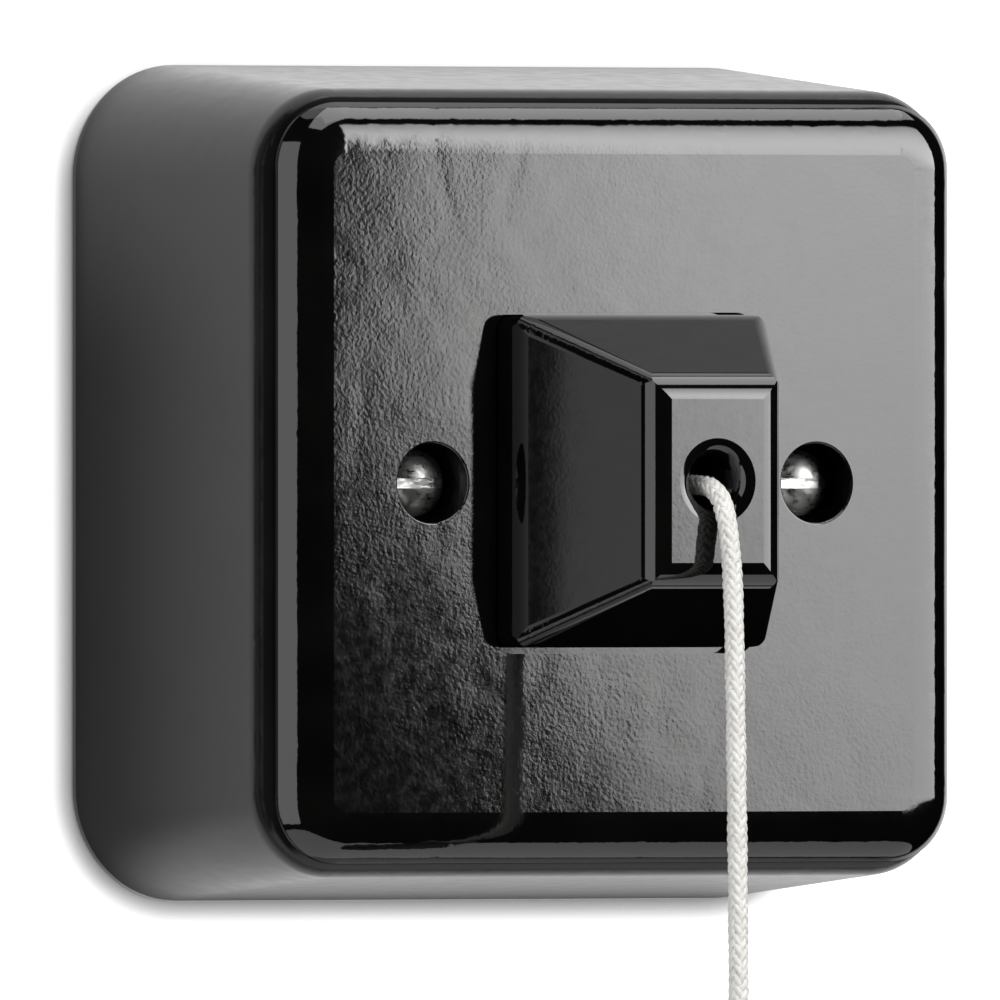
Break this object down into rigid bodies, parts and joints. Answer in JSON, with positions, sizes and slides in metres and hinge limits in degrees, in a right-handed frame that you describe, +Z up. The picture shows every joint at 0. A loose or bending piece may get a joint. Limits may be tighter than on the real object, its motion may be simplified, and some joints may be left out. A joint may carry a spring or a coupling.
{
  "type": "pull cord switch",
  "caption": "Wall-mounted pull cord switch: square moulded box, glossy cover plate with a tapered cord spout, braided cord with a knob, and a ratchet switch inside.",
  "frame": {"origin": "centre of the wall face, on the back of the box", "axes": "+X to the right seen from the front, +Y into the wall, +Z up; the front faces -Y"},
  "size_m": [0.0884, 0.0739, 0.1402],
  "materials": {
    "box_bakelite": "satin black moulded bakelite",
    "back_bakelite": "dull black moulded bakelite",
    "gloss_bakelite": "polished black bakelite",
    "nickel": "bright nickel plating",
    "zinc_steel": "zinc-plated sheet steel",
    "bright_steel": "turned steel",
    "spring_steel": "tempered spring steel",
    "porcelain": "glazed porcelain",
    "brass": "plain brass",
    "silver": "silver contact face",
    "brown_insulator": "brown pressed insulator",
    "cord_braid": "off-white braided cotton"
  },
  "bodies": {
    "switch_body": {"surface_box": "box_bakelite", "back_plate": "back_bakelite", "cover_plate": "gloss_bakelite", "cord_spout": "gloss_bakelite", "plate_screws": "nickel", "support_frame": "zinc_steel", "frame_screws": "zinc_steel", "switch_base": "porcelain", "base_screws": "zinc_steel", "lever_shaft": "bright_steel", "shaft_clips": "spring_steel", "return_spring": "spring_steel", "index_spring": "spring_steel", "fixed_contact": "brass", "terminal_line": "brass", "terminal_load": "brass", "terminal_screws": "nickel"},
    "cord_and_knob": {"pull_cord": "cord_braid", "pull_knob": "gloss_bakelite", "knob_knot": "cord_braid"},
    "lever": {"pull_lever": "zinc_steel", "pawl_pin": "bright_steel", "pawl_spring": "spring_steel", "cord_knot": "cord_braid"},
    "pawl": {"pawl": "bright_steel"},
    "ratchet": {"ratchet_wheel": "brass", "contact_cam": "brown_insulator"},
    "leaf": {"contact_leaf": "brass", "moving_contact": "silver"}
  },
  "joints": [
    {"name": "cord_pull", "type": "slide", "parent": "switch_body", "child": "cord_and_knob", "axis": [0, 0, -1], "range_m": [0, 0.01225], "stiffness_N_per_m": 250, "springref_m": -0.012, "deforming": ["pull_cord"]},
    {"name": "lever_swing", "type": "hinge", "parent": "switch_body", "child": "lever", "pos_m": [0, -0.022, -0.01458], "axis": [1, 0, 0], "range_deg": [0, 45], "deforming": ["return_spring"]},
    {"name": "wheel_index", "type": "hinge", "parent": "switch_body", "child": "ratchet", "pos_m": [0, -0.022, -0.01458], "axis": [1, 0, 0], "range_deg": [0, 45], "deforming": ["index_spring"]},
    {"name": "contact_close", "type": "hinge", "parent": "switch_body", "child": "leaf", "pos_m": [0, -0.0146, -0.02063], "axis": [1, 0, 0], "range_deg": [0, 8.69]},
    {"name": "pawl_lift", "type": "hinge", "parent": "lever", "child": "pawl", "pos_m": [0, -0.01817, -0.00534], "axis": [-1, 0, 0], "range_deg": [0, 12], "stiffness_Nm_per_rad": 0.002, "springref_deg": -17.19, "deforming": ["pawl_spring"]}
  ],
  "couplings": [
    {"joint": "lever_swing", "follows": "cord_pull", "rad_per_m": 64.13},
    {"joint": "wheel_index", "follows": "cord_pull", "rad_per_m": 64.13},
    {"joint": "contact_close", "follows": "cord_pull", "rad_per_m": 12.383}
  ]
}
